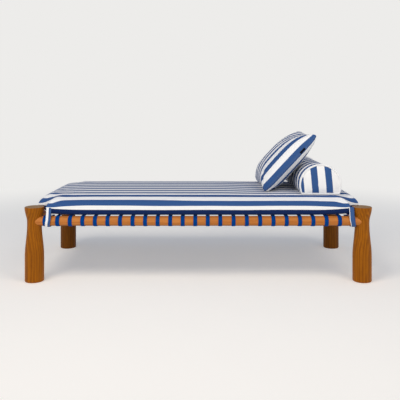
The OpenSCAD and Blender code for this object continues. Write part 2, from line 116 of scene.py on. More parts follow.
class LoungerSizes(bpy.types.PropertyGroup):
    """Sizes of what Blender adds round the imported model."""

    snug: size("Snug", 0.0001, "Room between a rail and the straps round it")
    strap_t: size("Strap thickness", 0.0025, "Thickness of the webbing")
    weave: size("Weave step", 0.0028, "How far a long strap rises over a cross strap")
    tack_h: size("Tack head", 0.0014, "Height of a tack head, which the ties clear")
    tie_w: size("Tie width", 0.028, "Width of the corner ties")
    tie_t: size("Tie thickness", 0.002, "Thickness of the corner ties")
    ease: size("Ease", 0.0003, "Room between cloth and what it lies on")
    notch_gap: size("Notch gap", 0.021, "Gap between a leg top and the notch round it")
    seam_h: size("Seam height", 0.033, "Height of the mattress seam over its underside")
    shoulder: size("Shoulder", 0.15, "Width of the mattress's rounded shoulder")
    corner_lift: size("Corner lift", 0.012, "How far the seam rises at the notches")
    lift_reach: size("Lift reach", 0.22, "How far from a notch the seam rises")
    end_tight: FloatProperty(
        name="End tightness", default=0.8, description="How much steeper the ends' shoulders are"
    )
    thin_reach: size("Thin reach", 0.24, "How far from a notch the shoulder is thinner")
    crown: size("Crown", 0.004, "How far the middle of the mattress stands proud")
    flat_half: size("Flat half width", 0.474, "Half width of the mattress's unsewn upper panel")
    flat_foot: size("Flat foot", 0.006, "How much wider half of that panel is at the foot")
    flat_draw: size("Flat draw", 0.016, "How much narrower that panel is at the notches")
    flat_pull: size("Flat pull", 0.03, "How far that panel is pulled down into the notches")
    flat_rise: size("Flat rise", 0.019, "How far it is drawn up behind the notches")
    flat_slack: size("Flat slack", 0.011, "Spare cloth in the shoulder at the foot end")
    stripe: size("Stripe pitch", 0.085, "One blue and one white stripe")
    stripe_blue: size("Blue stripe", 0.04, "Width of a blue stripe")
    piping_r: size("Piping radius", 0.0062, "Radius of the piping round the bolster's ends")
    bolster_draw: size("Bolster draw", 0.0035, "How far the bolster's ends are drawn in")
    bolster_dome: size("Bolster dome", 0.01, "Bulge of the bolster's ends")
    cushion_w: size("Cushion width", 0.536, "Width of the cushion across the bed")
    cushion_l: size("Cushion height", 0.474, "Height of the cushion along its slope")
    cushion_rise: size("Cushion rise", 0.09, "Rise of the cushion's upper face")
    cushion_drop: size("Cushion drop", 0.0855, "Depth of the face that rests on the bolster")
    cushion_draw: size("Cushion draw", 0.011, "How far the cushion's edges are drawn in")
    cushion_blunt: size("Cushion corners", 0.006, "How far the cushion's corners are rounded off")
    cushion_sag: size("Cushion sag", 0.0125, "How far the cushion's edges hang between corners")
    cushion_lean: FloatProperty(
        name="Cushion lean", default=math.radians(47), subtype="ANGLE",
        description="Lean of the cushion from level",
    )
    label_up: size("Label place", 0.106, "Place of the label above the middle of the front seam")
    label_l: size("Label length", 0.04, "Length of the cushion's blank label")
    label_h: size("Label height", 0.013, "Height of the cushion's blank label")


class LoungerColours(bpy.types.PropertyGroup):
    """Colours of the wood, the cloths and the metal."""

    leg_light: colour("Leg wood, light", (174, 102, 6), "Pale wood between the pores of the legs")
    leg_end: colour("Leg end grain", (164, 138, 104), "Greyer tan of the legs' upward faces")
    leg_dark: colour("Leg wood, dark", (126, 68, 3), "Dark grain of the legs")
    rail_light: colour("Rail wood, light", (208, 132, 64), "Pale wood of the rails")
    rail_dark: colour("Rail wood, dark", (182, 106, 44), "Dark grain of the rails")
    webbing: colour("Webbing", (0, 70, 150), "Yarn of the straps")
    blue: colour("Stripe blue", (58, 93, 148), "Dyed yarn of the stripes")
    # Painted shade: a darker blue for the mattress's lower panels, which face down into shade
    blue_painted_shade: colour("Stripe blue below", (20, 42, 90), "Blue of the lower panels, darkened as painted shade")
    white: colour("Stripe white", (250, 249, 247), "Bleached yarn of the stripes")
    label: colour("Label", (22, 24, 34), "Yarn of the blank label")
    metal: colour("Metal", (150, 148, 142), "Steel of the bolts")
    tack: colour("Tack", (62, 58, 52), "Darkened steel of the tacks")
    glide: colour("Glide", (30, 30, 30), "Plastic of the foot glides")
    foam: colour("Foam", (232, 214, 160), "Foam inside the covers")
    floor: colour("Floor", (244, 239, 229), "Studio floor")
    backdrop: colour("Backdrop", (237, 236, 234), "Studio light and backdrop")
    overhead: colour("Overhead", (104, 124, 158), "Studio light from overhead")
    lamp: colour("Lamps", (255, 247, 236), "Light of the two lamps")


def sizes():
    return bpy.context.scene.lounger_sizes


def colours():
    return bpy.context.scene.lounger_colours


class Wiring:
    """A node tree being wired, with a short call for each kind of node that is used here."""

    def __init__(self, tree):
        self.tree = tree

    def link(self, value, socket):
        if isinstance(value, bpy.types.NodeSocket):
            self.tree.links.new(value, socket)
        elif socket.type == "RGBA":
            socket.default_value = (*value[:3], 1.0)
        else:
            socket.default_value = value

    def node(self, kind, inputs, output=0, **settings):
        made = self.tree.nodes.new("ShaderNode" + kind)
        for key, value in settings.items():
            setattr(made, key, value)
        for key, value in inputs.items():
            self.link(value, made.inputs[key])
        return made.outputs[output]

    def math(self, operation, *values):
        return self.node("Math", dict(enumerate(values)), operation=operation)

    def plus(self, a, b):
        return self.math("ADD", a, b)

    def less(self, a, b):
        return self.math("SUBTRACT", a, b)

    def times(self, a, b):
        return self.math("MULTIPLY", a, b)

    def wave(self, value, length):
        """A wave of this length along the value."""
        return self.math("SINE", self.times(value, math.tau / length))

    def vector(self, operation, *values):
        return self.node("VectorMath", dict(enumerate(values)), operation=operation)

    def place(self):
        return self.node("TexCoord", {}, "Object")

    def parts(self, vector):
        made = self.tree.nodes.new("ShaderNodeSeparateXYZ")
        self.tree.links.new(vector, made.inputs[0])
        return made.outputs

    def joined(self, x, y, z):
        return self.node("CombineXYZ", {0: x, 1: y, 2: z})

    def attribute(self, name, output="Vector"):
        return self.node("Attribute", {}, output, attribute_name=name)

    def noise(self, vector, scale, detail=3.0, rough=0.5, distortion=0.0):
        return self.node(
            "TexNoise",
            {"Vector": vector, "Scale": scale, "Detail": detail, "Roughness": rough,
             "Distortion": distortion},
        )

    def span(self, value, low, high, to_low=0.0, to_high=1.0, kind="LINEAR"):
        """The value's range from low to high, stretched to another range and held at its ends."""
        return self.node(
            "MapRange",
            {"Value": value, "From Min": low, "From Max": high, "To Min": to_low,
             "To Max": to_high},
            interpolation_type=kind,
        )

    def level(self, noise, low, high):
        """A noise's middle range, in which most of it lies, stretched from low to high."""
        return self.span(noise, 0.3, 0.7, low, high)

    def varied(self, noise, base, dark, most):
        """The base colour, with up to this much of its darker shade where the noise is high."""
        return self.mix(self.level(noise, 0.0, most), base, shade(base, dark))

    def mix(self, share, a, b, blend="MIX"):
        made = self.tree.nodes.new("ShaderNodeMix")
        made.data_type = "RGBA"
        made.blend_type = blend
        for index, value in ((0, share), (6, a), (7, b)):
            self.link(value, made.inputs[index])
        return made.outputs[2]


class Finish(Wiring):
    """A material being wired."""

    def __init__(self, name, **sockets):
        self.material = bpy.data.materials.new(name)
        self.material.use_nodes = True
        super().__init__(self.material.node_tree)
        self.shader = self.tree.nodes["Principled BSDF"]
        for key, value in sockets.items():
            self.shader.inputs[key.replace("_", " ")].default_value = value

    def finish(self, base, roughness=None, height=None, strength=0.3, distance=0.001):
        self.link(base, self.shader.inputs["Base Color"])
        if roughness is not None:
            self.link(roughness, self.shader.inputs["Roughness"])
        if height is not None:
            bump = self.node(
                "Bump", {"Height": height, "Strength": strength, "Distance": distance}
            )
            self.tree.links.new(bump, self.shader.inputs["Normal"])
        return self.material


# Wood: how slowly its grain changes along a piece, how far the heart of the tree lies off the
# piece's middle line, and the turns of its rings to a metre and through their drift
GRAIN_SLOW = 0.045
HEART = (0.031, 0.012)
RING_TURNS = 760.0
RING_DRIFT = 9.0


def grain(name, light, dark, along, centre, below=None):
    """Oiled wood. The grain runs along one axis, and its rings lie round a line through centre.

    The rings' middle is mirrored to all four corners, because each leg is its own turning. below
    is the height under which the underside is darkened as painted shade. A leg's upward faces turn
    greyer instead."""
    wood = Finish(name, Specular_IOR_Level=0.12)
    place = wood.place()
    mirrored = wood.parts(wood.vector("SUBTRACT", wood.vector("ABSOLUTE", place), centre))
    stretch = [GRAIN_SLOW if axis == along else 1.0 for axis in range(3)]
    run = wood.vector("MULTIPLY", place, stretch)
    across = [part for axis, part in enumerate(mirrored) if axis != along]
    squares = [wood.math("POWER", wood.plus(part, off), 2.0) for part, off in zip(across, HEART)]
    radius = wood.math("SQRT", wood.plus(*squares))
    drift = wood.noise(run, scale=34.0, rough=0.55, distortion=0.4)
    turn = wood.plus(wood.times(radius, RING_TURNS), wood.times(drift, RING_DRIFT))
    figure = wood.span(wood.math("SINE", turn), -1.0, 1.0, kind="SMOOTHSTEP")
    streaks = wood.noise(run, scale=210.0, detail=4.0, rough=0.6)
    pits = wood.span(wood.noise(run, scale=900.0, detail=2.0), 0.56, 0.68)
    share = wood.plus(wood.times(figure, 0.22), wood.times(streaks, 0.78))
    base = wood.mix(wood.level(share, 0.12, 1.0), dark, light)
    base = wood.mix(wood.times(pits, 0.22), base, shade(dark, 0.45))
    patch = wood.noise(place, scale=5.0, detail=2.0)
    base = wood.mix(wood.level(patch, 0.0, 0.16), base, shade(dark, 0.8))
    # Painted shade: the wood under the height below is darkened, most at the very bottom
    if below:
        painted_shade = wood.span(wood.parts(place)[2], below, below + 0.014, 0.75, 0.0)
        base = wood.mix(painted_shade, base, shade(dark, 0.2))
    else:
        # The legs' upward faces are turned towards a greyer tan
        upward = wood.parts(wood.node("NewGeometry", {}, "True Normal"))[2]
        base = wood.mix(wood.span(upward, 0.75, 0.95, 0.0, 0.7), base, colours().leg_end)
    height = wood.less(wood.times(streaks, 0.5), wood.times(pits, 0.7))
    rough = wood.level(streaks, 0.42, 0.58)
    return wood.finish(base, rough, height, strength=0.35, distance=0.0006)


# Canvas: its thread, and the scale of its yarns' unevenness
THREAD = 0.0016
YARN = 260.0


def yarns(cloth, u, v, w=0.0):
    """The unevenness of a canvas's yarns."""
    return cloth.noise(cloth.joined(u, v, w), scale=YARN, detail=2.0)


def as_canvas(cloth, base, u, v):
    """Finishes a cloth as a plain weave of round, slightly uneven yarns."""
    crossing = cloth.times(cloth.wave(u, THREAD), cloth.wave(v, THREAD))
    slub = cloth.noise(cloth.joined(cloth.times(u, 12.0), v, 0.0), scale=320.0, detail=2.0)
    wavy = cloth.noise(cloth.joined(u, v, 0.0), scale=55.0, detail=2.0)
    height = cloth.plus(cloth.plus(cloth.times(crossing, 0.35), slub), cloth.times(wavy, 0.6))
    return cloth.finish(base, None, height, strength=0.28, distance=0.0006)


def edge_of(cloth, value, limit):
    """1 where the value is under the limit, with a soft edge one thread wide."""
    return cloth.span(value, limit - THREAD / 2, limit + THREAD / 2, 1.0, 0.0)


def striped(name, upper, lower, low_blue):
    """Canvas with woven stripes. The piece's cloth attribute holds the place across the upper
    panel, the place along it, and the distance from the seam, less than 0 on the lower panel.
    upper and lower take the shader and a place across, and give 1 where the yarn is blue."""
    s, c = sizes(), colours()
    cloth = Finish(
        name, Roughness=0.9, Specular_IOR_Level=0.1, Sheen_Weight=0.02, Sheen_Roughness=0.5
    )
    u, v, side = cloth.parts(cloth.attribute("cloth"))
    under = cloth.attribute("under", "Fac")
    uneven = yarns(cloth, u, v, side)
    # A stripe's edge wanders by a part of a thread
    jitter = cloth.times(cloth.less(uneven, 0.5), 0.0012)
    above = cloth.span(side, -0.00001, 0.00001)
    blue = cloth.plus(
        cloth.times(upper(cloth, cloth.plus(u, jitter), s), above),
        cloth.times(lower(cloth, cloth.plus(under, jitter), s), cloth.less(1.0, above)),
    )
    # The lower panels' blue; the mattress's is darker, as painted shade
    blue_and_painted_shade = cloth.mix(above, low_blue, c.blue)
    dark = cloth.mix(1.0, blue_and_painted_shade, [0.72, 0.72, 0.72], "MULTIPLY")
    blue_yarn = cloth.mix(cloth.level(uneven, 0.0, 0.55), blue_and_painted_shade, dark)
    base = cloth.mix(blue, cloth.varied(uneven, c.white, dark=0.93, most=0.5), blue_yarn)
    # Painted shade: cloth within 3 mm of a seam is darkened towards blue-grey
    near = cloth.span(cloth.math("ABSOLUTE", side), 0.0, 0.003, 0.12, 0.0)
    return as_canvas(cloth, cloth.mix(near, base, [0.2, 0.24, 0.32]), u, v)


def blue_from_middle(cloth, u, s):
    """Stripes with a blue one along the middle of the piece."""
    half_stripe = 0.5 * s.stripe
    phase = cloth.math("WRAP", cloth.plus(u, half_stripe), s.stripe, 0.0)
    off = cloth.math("ABSOLUTE", cloth.less(phase, half_stripe))
    return edge_of(cloth, off, 0.5 * s.stripe_blue)


def blue_from(start):
    """Stripes whose first blue one starts this far from the seam, where the place is 0."""

    def blue(cloth, u, s):
        phase = cloth.math("WRAP", cloth.less(u, start), s.stripe, 0.0)
        return edge_of(cloth, phase, s.stripe_blue)

    return blue


def webbing_finish(name, base):
    """Woven strap: ribs along it, a finer weft across, and a tight selvedge."""
    strap = Finish(name, Roughness=0.85, Specular_IOR_Level=0.05)
    u, v, _ = strap.parts(strap.attribute("cloth"))
    weave = strap.plus(strap.wave(u, 0.0021), strap.times(strap.wave(v, 0.0017), 0.6))
    uneven = strap.noise(strap.joined(u, v, 0.0), scale=190.0)
    tone = strap.varied(uneven, base, dark=0.66, most=0.6)
    # Painted shade: the hollows of the weave are darkened
    tone = strap.mix(strap.span(weave, -1.6, 1.6, 0.2, 0.0), tone, shade(base, 0.35))
    edge = STRAP_W / 2
    selvedge = strap.span(strap.math("ABSOLUTE", u), edge - 0.002, edge - 0.001, 0.0, 0.35)
    tone = strap.mix(selvedge, tone, shade(base, 0.5))
    return strap.finish(tone, None, weave, strength=0.4, distance=0.0004)


def tie_finish():
    """The ties are cut along a stripe, so one edge is white and the other blue."""
    c = colours()
    tie = Finish("tie canvas", Roughness=0.85, Specular_IOR_Level=0.2, Sheen_Weight=0.1)
    u, v, white_w = tie.parts(tie.attribute("cloth"))
    blue = tie.varied(yarns(tie, u, v), c.blue, dark=0.72, most=0.5)
    white = edge_of(tie, tie.less(u, white_w), 0.0)
    return as_canvas(tie, tie.mix(white, blue, c.white), u, v)


def plain_canvas(name, base):
    """Canvas of one colour, as the piping is covered with."""
    cloth = Finish(name, Roughness=0.86, Specular_IOR_Level=0.2, Sheen_Weight=0.1)
    u, v, _ = cloth.parts(cloth.attribute("cloth"))
    return as_canvas(cloth, cloth.varied(yarns(cloth, u, v), base, dark=0.9, most=0.5), u, v)


def worn_metal(name, base, roughness):
    """Metal with small dull spots."""
    metal = Finish(name, Metallic=1.0, Specular_IOR_Level=0.5)
    spots = metal.noise(metal.place(), scale=420.0, detail=4.0, rough=0.6)
    tone = metal.mix(metal.span(spots, 0.4, 0.7, 0.0, 0.6), base, shade(base, 0.6))
    rough = metal.level(spots, roughness - 0.08, roughness + 0.12)
    return metal.finish(tone, rough, spots, strength=0.12, distance=0.0003)


def moulded(name, base, scale, roughness, bump):
    """Plastic or foam with a fine even grain."""
    stuff = Finish(name, Specular_IOR_Level=0.4)
    speck = stuff.noise(stuff.place(), scale, rough=0.6)
    tone = stuff.varied(speck, base, dark=0.75, most=0.4)
    rough = stuff.level(speck, roughness - 0.05, roughness + 0.08)
    return stuff.finish(tone, rough, speck, strength=bump, distance=0.0005)


def dress(material, *nodes):
    """Gives CAD nodes their material and an even shading over their round faces."""
    for node in nodes:
        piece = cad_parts[node]
        piece.data.materials.clear()
        piece.data.materials.append(material)
        for face in piece.data.polygons:
            face.material_index = 0
            face.use_smooth = True
        weld = piece.modifiers.new("weld", "WELD")
        weld.merge_threshold = 0.00001
        split = piece.modifiers.new("crease", "EDGE_SPLIT")
        split.split_angle = math.radians(32)


def new_mesh():
    """An empty bmesh with the cloth layers and a place for each vertex in its ring."""
    bm = bmesh.new()
    cloth = bm.verts.layers.float_vector.new("cloth")
    under = bm.verts.layers.float.new("under")
    order = bm.verts.layers.int.new("order")
    return bm, cloth, under, order


def turned_outward(bm):
    """Turns every face of a closed bmesh outward."""
    bmesh.ops.recalc_face_normals(bm, faces=bm.faces)
    if bm.calc_volume(signed=True) < 0:
        bmesh.ops.reverse_faces(bm, faces=bm.faces)


def finished(bm, name, material, body, replaced=()):
    """Makes the bmesh a piece that rides on a body and stands for the CAD nodes it replaces."""
    turned_outward(bm)
    mesh = bpy.data.meshes.new(name)
    bm.to_mesh(mesh)
    bm.free()
    piece = bpy.data.objects.new(name, mesh)
    bpy.context.scene.collection.objects.link(piece)
    mesh.materials.append(material)
    mesh.polygons.foreach_set("use_smooth", [True] * len(mesh.polygons))
    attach(piece, body)
    if replaced:
        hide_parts(*replaced)
    return piece


def first_ring(bm, order, count):
    """A ring of vertices, numbered in turn."""
    ring = bmesh.ops.create_circle(bm, cap_ends=False, segments=count, radius=1.0)["verts"]
    for k, vert in enumerate(ring):
        vert[order] = k
    return ring, [e for e in bm.edges if all(v in ring for v in e.verts)]


def next_ring(bm, edges):
    """Extrudes a ring of edges, and gives its new vertices and edges."""
    made = bmesh.ops.extrude_edge_only(bm, edges=edges)["geom"]
    ring = {g for g in made if isinstance(g, bmesh.types.BMVert)}
    fresh = [
        g for g in made if isinstance(g, bmesh.types.BMEdge) and all(v in ring for v in g.verts)
    ]
    return ring, fresh


def cover(bm, name, canvas, body):
    """Makes the bmesh a striped cover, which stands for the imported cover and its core."""
    dress(canvas, f"{name}_cover")
    return finished(bm, name, canvas, body, [f"{name}_cover", f"{name}_core"])


def subdivided(piece):
    """Adds a finishing subdivision, alike in the view and in the render."""
    smooth = piece.modifiers.new("round", "SUBSURF")
    smooth.levels = 1
    smooth.render_levels = 1


# Points round a strap and round the piping, and a strap's share of its thickness at its edges
STRAP_POINTS = 10
PIPING_POINTS = 8
STRAP_EDGE = 0.55


def band(name, stations, width, thick, material, body, replaced, white=0.0):
    """A flat strap with rounded edges, extruded through stations of a place, the direction
    across it and the direction out of its face. The cloth layer has the place across and along."""
    bm, cloth, _, order = new_mesh()
    ring, edges = first_ring(bm, order, STRAP_POINTS)
    section = []
    face = STRAP_POINTS // 2
    for k in range(STRAP_POINTS):
        side = 1 if k < face else -1
        across = side * (1 - 2 * (k % face) / (face - 1))
        inset = STRAP_EDGE if abs(across) == 1 else 1.0
        section.append((across * width / 2, side * inset * thick / 2))
    run = 0.0
    last = stations[0][0]
    bmesh.ops.contextual_create(bm, geom=edges)
    for step, (place, across, out) in enumerate(stations):
        if step:
            ring, edges = next_ring(bm, edges)
            run += (place - last).length
            last = place
        for vert in ring:
            u, w = section[vert[order]]
            vert.co = place + across * u + out * w
            vert[cloth] = (u, run, white)
    bmesh.ops.contextual_create(bm, geom=edges)
    finished(bm, name, material, body, replaced)


def cord_round(name, line, radius, material, body):
    """A closed round cord along a line of points in an upright plane across the bed."""
    bm, cloth, _, order = new_mesh()
    ring, edges = first_ring(bm, order, PIPING_POINTS)
    first = edges
    run = 0.0
    for step, point in enumerate(line):
        if step:
            ring, edges = next_ring(bm, edges)
            run += (point - line[step - 1]).length
        along = (line[(step + 1) % len(line)] - line[step - 1]).normalized()
        side = Vector((0, 1, 0))
        out = side.cross(along)
        for vert in ring:
            turn = math.tau * vert[order] / PIPING_POINTS
            vert.co = point + radius * (math.cos(turn) * side + math.sin(turn) * out)
            vert[cloth] = (radius * turn, run, 0.0)
    bmesh.ops.bridge_loops(bm, edges=first + edges)
    subdivided(finished(bm, name, material, body))


def bent(points):
    """Rounds the corners of a line of points by cutting each of them off twice."""
    for _ in range(2):
        cut = [points[0]]
        for a, b in zip(points, points[1:]):
            cut += [a.lerp(b, 0.25), a.lerp(b, 0.75)]
        points = cut + [points[-1]]
    return points


def wrap(radius, start=90, turn=260, steps=26):
    """Places along a wrap round a rail, as distances outwards and upwards from its middle. A
    strap's goes from the top over the outer side, below and up to the inner side."""
    turns = [math.radians(start - turn * k / steps) for k in range(steps + 1)]
    return [(radius * math.cos(t), radius * math.sin(t)) for t in turns]


def cross_stations(x):
    """A cross strap's line: round the front rail, over to the back rail and round that."""
    s = sizes()
    radius = RAIL_R + s.snug + s.strap_t / 2
    back = [(RAIL.y + out, RAIL.z + up) for out, up in wrap(radius)]
    front = [(-y, z) for y, z in reversed(back)]
    flat = [(RAIL.y * t / 6, RAIL.z + radius) for t in range(-5, 6)]
    return stations_of([Vector((x, y, z)) for y, z in front + flat + back], Vector((1, 0, 0)))


def long_stations(y, number):
    """A long strap's line: round the end rails, over and under the cross straps in turn."""
    s = sizes()
    radius = RAIL_R + s.snug + s.strap_t / 2
    level = RAIL.z + radius
    head = [Vector((END_RAIL.x + out, y, RAIL.z + up)) for out, up in wrap(radius)]
    foot = [Vector((-p.x, p.y, p.z)) for p in reversed(head)]
    woven_line = [foot[-1]]
    for i, node in enumerate(CROSS_NODES):
        rise = s.weave if (i + number) % 2 == 0 else -s.weave
        for side in (-1, 1):
            x = middle(node).x + side * (STRAP_W / 2 + s.weave)
            woven_line.append(Vector((x, y, level + rise)))
    woven_line.append(head[0])
    return stations_of(foot[:-1] + bent(woven_line) + head[1:], Vector((0, -1, 0)))


def stations_of(points, across):
    """Each point with the direction across the strap and the one out of its face."""
    stations = []
    for k, point in enumerate(points):
        along = points[min(k + 1, len(points) - 1)] - points[max(k - 1, 0)]
        stations.append((point, across, across.cross(along).normalized()))
    return stations


# How far from the middle of its leg a tie is at the seam, below the rail and at its end
TIE_HEAD = (0.069, 0.053, 0.088)
TIE_FOOT = (0.092, 0.08, 0.098)
# Where across a head tie its white edge starts
TIE_HEAD_WHITE = -0.0105


def tie_stations(head, back):
    """A corner tie: from the seam down over the outer side of the rail, under it and up again."""
    s = sizes()
    radius = RAIL_R + s.snug + s.strap_t + s.tack_h + 2 * s.ease + s.tie_t / 2
    at_seam, below, at_end = TIE_HEAD if head else TIE_FOOT
    seam = seam_height(LEG.x - at_seam, MATTRESS.y)
    line = [
        (MATTRESS.y + s.tie_t / 2 - 0.004, seam + 0.004),
        (MATTRESS.y + s.tie_t / 2 + s.ease, seam - 0.002),
    ]
    line += [(RAIL.y + out, RAIL.z + up) for out, up in wrap(radius, 20, 215, 36)]
    line.append((RAIL.y - radius - 0.001, RAIL.z + RAIL_R + 0.002))
    stations = []
    for k, (y, z) in enumerate(line):
        t = 2 * k / (len(line) - 1)
        at = at_seam + (below - at_seam) * t if t < 1 else below + (at_end - below) * (t - 1)
        stations.append(Vector(((LEG.x - at) * (1 if head else -1), y * (1 if back else -1), z)))
    return stations_of(stations, Vector((1, 0, 0)))


def seam_height(x, y):
    """Height of the mattress seam, which rises towards the notches."""
    s = sizes()
    return MATTRESS_LOW + s.seam_h + s.corner_lift * near_notch(x, y, s.lift_reach) ** 2


# Steps of the mattress's edge round a notch, along a side and along an end
NOTCH_STEPS = 14
LONG_STEPS = 88
SHORT_STEPS = 34
# Roundness of its lower edge and of its shoulder, and how much less that is by a notch
LOW_ROUND = 3.4
SHOULDER_ROUND = 2.5
NOTCH_ROUND = 0.6
# The share of the shoulder in which the seam's lift and waves die away
LIFT_SHARE = 0.4


def notch(hx, hy, r):
    """The arc round a leg, as places and the outward directions there."""
    start = 270 + math.degrees(math.asin(min((hx - LEG.x) / r, 0.99)))
    end = 180 - math.degrees(math.asin(min((hy - LEG.y) / r, 0.99)))
    arc = []
    for k in range(NOTCH_STEPS + 1):
        turn = math.radians(start + (end - start) * k / NOTCH_STEPS)
        out = Vector((math.cos(turn), math.sin(turn)))
        arc.append((Vector((LEG.x, LEG.y)) + r * out, -out))
    return arc


def outline(inset):
    """The mattress's edge, this far inside its seam, anticlockwise, with outward directions."""
    arc = notch(MATTRESS.x - inset, MATTRESS.y - inset, LEG_R + sizes().notch_gap + inset)
    corners = []
    for sx, sy in ((1, 1), (-1, 1), (-1, -1), (1, -1)):
        turned = [(Vector((p.x * sx, p.y * sy)), Vector((n.x * sx, n.y * sy))) for p, n in arc]
        if sx * sy < 0:
            turned.reverse()
        corners.append(turned)
    ring = []
    for k, turned in enumerate(corners):
        start, end = turned[-1][0], corners[(k + 1) % 4][0][0]
        steps = SHORT_STEPS if k % 2 else LONG_STEPS
        out = Vector((end.y - start.y, start.x - end.x)).normalized()
        ring += turned
        ring += [(start.lerp(end, j / steps), out) for j in range(1, steps)]
    outs = [out for _, out in ring]
    for _ in range(4):
        outs = [
            (outs[j - 1] + out + outs[(j + 1) % len(outs)]).normalized()
            for j, out in enumerate(outs)
        ]
    return [(place, out) for (place, _), out in zip(ring, outs)]


def bulge(t, power):
    """A rounded shoulder: the share of the height at a share of the way in from the seam."""
    return (1 - (1 - t) ** power) ** (1 / power)


def dome(t, power, root):
    """1 where t is 0, and 0 where it is -1 or 1. The power and the root shape the fall."""
    return max(1 - abs(t) ** power, 0) ** root


def ramp(value, start, end):
    """Goes smoothly from 0 at the start to 1 at the end, which may be the lower of the two."""
    t = min(max((value - start) / (end - start), 0.0), 1.0)
    return t * t * (3 - 2 * t)


def waves(x, y, rate, seed):
    """Noise over a sheet, with about this many waves to each unit of x and y."""
    return noise.noise(Vector((x * rate, y * rate, seed)))


def near_notch(x, y, reach):
    """1 by a notch, and 0 this far from it."""
    off = math.hypot(abs(x) - LEG.x, abs(y) - LEG.y) - LEG_R - sizes().notch_gap
    return min(max(1 - off / reach, 0), 1)


def mattress_rings():
    """Rings of the mattress from its underside over the seam to its crown. Each is its step in
    from the seam, the height over the underside, and -1 under, 0 at or 1 over the seam."""
    s = sizes()
    low_curve = 0.24 * s.shoulder
    rise = MATTRESS_TOP - MATTRESS_LOW - s.seam_h
    rings = [(low_curve * t, s.seam_h * (1 - bulge(t, LOW_ROUND)), -1)
             for t in (1.0, 0.75, 0.5, 0.3, 0.15, 0.06, 0.02)]
    rings.append((0.0, s.seam_h, 0))
    for t in (0.005, 0.018, 0.045, 0.08, 0.13, 0.2, 0.29, 0.4, 0.53, 0.68, 0.84, 1.0):
        rings.append((s.shoulder * t, s.seam_h + rise * bulge(t, SHOULDER_ROUND), 1))
    return rings


def surplus(rings):
    """What the curve of a panel adds to its width, from the first ring out to each of them."""
    added = [0.0]
    for (step, height, _), (next_step, next_height, _) in zip(rings, rings[1:]):
        across = abs(next_step - step)
        added.append(added[-1] + math.hypot(across, next_height - height) - across)
    return added


# How far stuffing and sewing move the mattress's cloth: in long waves, up and down along the
# seam, in puckers and in small ones. Then how far from the seam the waves and the puckers reach
LONG_WAVE = 0.0016
SEAM_WAVE = 0.0018
PUCKER = 0.0022
SMALL_PUCKER = 0.0008
WAVE_REACH = 0.16
PUCKER_REACH = 0.03


def sewn(place, out, distance, side):
    """Moves a point of the cover as sewing and stuffing do: long soft waves, and puckers that die
    away from the seam."""
    wave = LONG_WAVE * waves(place.x, place.y, 5.5, 7.0 + 3.0 * side)
    fine = PUCKER * waves(place.x, place.y, 38.0, 2.0 * place.z)
    small = SMALL_PUCKER * waves(place.x, place.y, 90.0, 5.0)
    near = math.exp(-distance / PUCKER_REACH)
    push = wave * max(1 - distance / WAVE_REACH, 0) + near * (fine + small)
    return place + Vector((out.x, out.y, 0)) * push


# The filling of a cover: how Blender's cloth simulation is set, and its number of frames
CLOTH_SETTINGS = {
    "quality": 5, "mass": 0.3, "tension_stiffness": 15, "compression_stiffness": 15,
    "shear_stiffness": 5, "bending_stiffness": 0.5, "use_pressure": True,
    "uniform_pressure_force": 4.0, "vertex_group_mass": "sewn",
}
CLOTH_FRAMES = 20


def filled(piece, pins, limit):
    """Fills a cover with Blender's cloth simulation. Pinned vertices stay, and no vertex moves
    further than the limit. The cloth ends as the piece's own mesh."""
    group = piece.vertex_groups.new(name="sewn")
    for index, weight in pins.items():
        group.add([index], weight, "REPLACE")
    cloth = piece.modifiers.new("filling", "CLOTH")
    for key, value in CLOTH_SETTINGS.items():
        setattr(cloth.settings, key, value)
    cloth.settings.effector_weights.gravity = 0
    cloth.collision_settings.use_collision = False
    cloth.point_cache.frame_start = 1
    cloth.point_cache.frame_end = CLOTH_FRAMES
    scene = bpy.context.scene
    for frame_number in range(1, CLOTH_FRAMES + 1):
        scene.frame_set(frame_number)
    before = [vert.co.copy() for vert in piece.data.vertices]
    bpy.context.view_layer.objects.active = piece
    bpy.ops.object.modifier_apply(modifier=cloth.name)
    for vert, old in zip(piece.data.vertices, before):
        move = vert.co - old
        if move.length > limit:
            vert.co = old + move * (limit / move.length)
    piece.vertex_groups.clear()
    scene.frame_set(1)


def stuffed(piece, pins, limit, hold):
    """Fills a cover, holds its points clear of what lies next to it, and finishes it."""
    filled(piece, pins, limit)
    for vert in piece.data.vertices:
        hold(vert)
    subdivided(piece)


class LOUNGER_OT_wood(bpy.types.Operator):
    """Finishes the legs, rails and plugs as oiled wood with its grain along each piece"""

    bl_idname = "lounger.wood"
    bl_label = "Wood"
    bl_options = {"REGISTER", "UNDO"}

    def execute(self, context):
        c = colours()
        centre = (LEG.x, LEG.y, 0)
        leg = grain("leg wood", c.leg_light, c.leg_dark, along=2, centre=centre)
        # Painted shade: the back legs get a darker copy of the leg wood, for the shade under the
        # bed
        painted_shade = grain("back leg wood in painted shade", shade(c.leg_light, 0.5), shade(c.leg_dark, 0.45), along=2,
                    centre=centre)
        # The rails' undersides below this height are darkened as painted shade
        low = RAIL.z - RAIL_R
        side, end = (
            grain(name, c.rail_light, c.rail_dark, along, centre, low)
            for name, along, centre in (
                ("side rail wood", 0, (0, RAIL.y, RAIL.z)),
                ("end rail wood", 1, (END_RAIL.x, 0, RAIL.z)),
            )
        )
        for node in LEGS:
            dress(painted_shade if node.endswith("back") else leg, node)
        dress(leg, "bolt_plugs")
        dress(side, "side_rail_front", "side_rail_back")
        dress(end, "end_rail_foot", "end_rail_head")
        return {"FINISHED"}


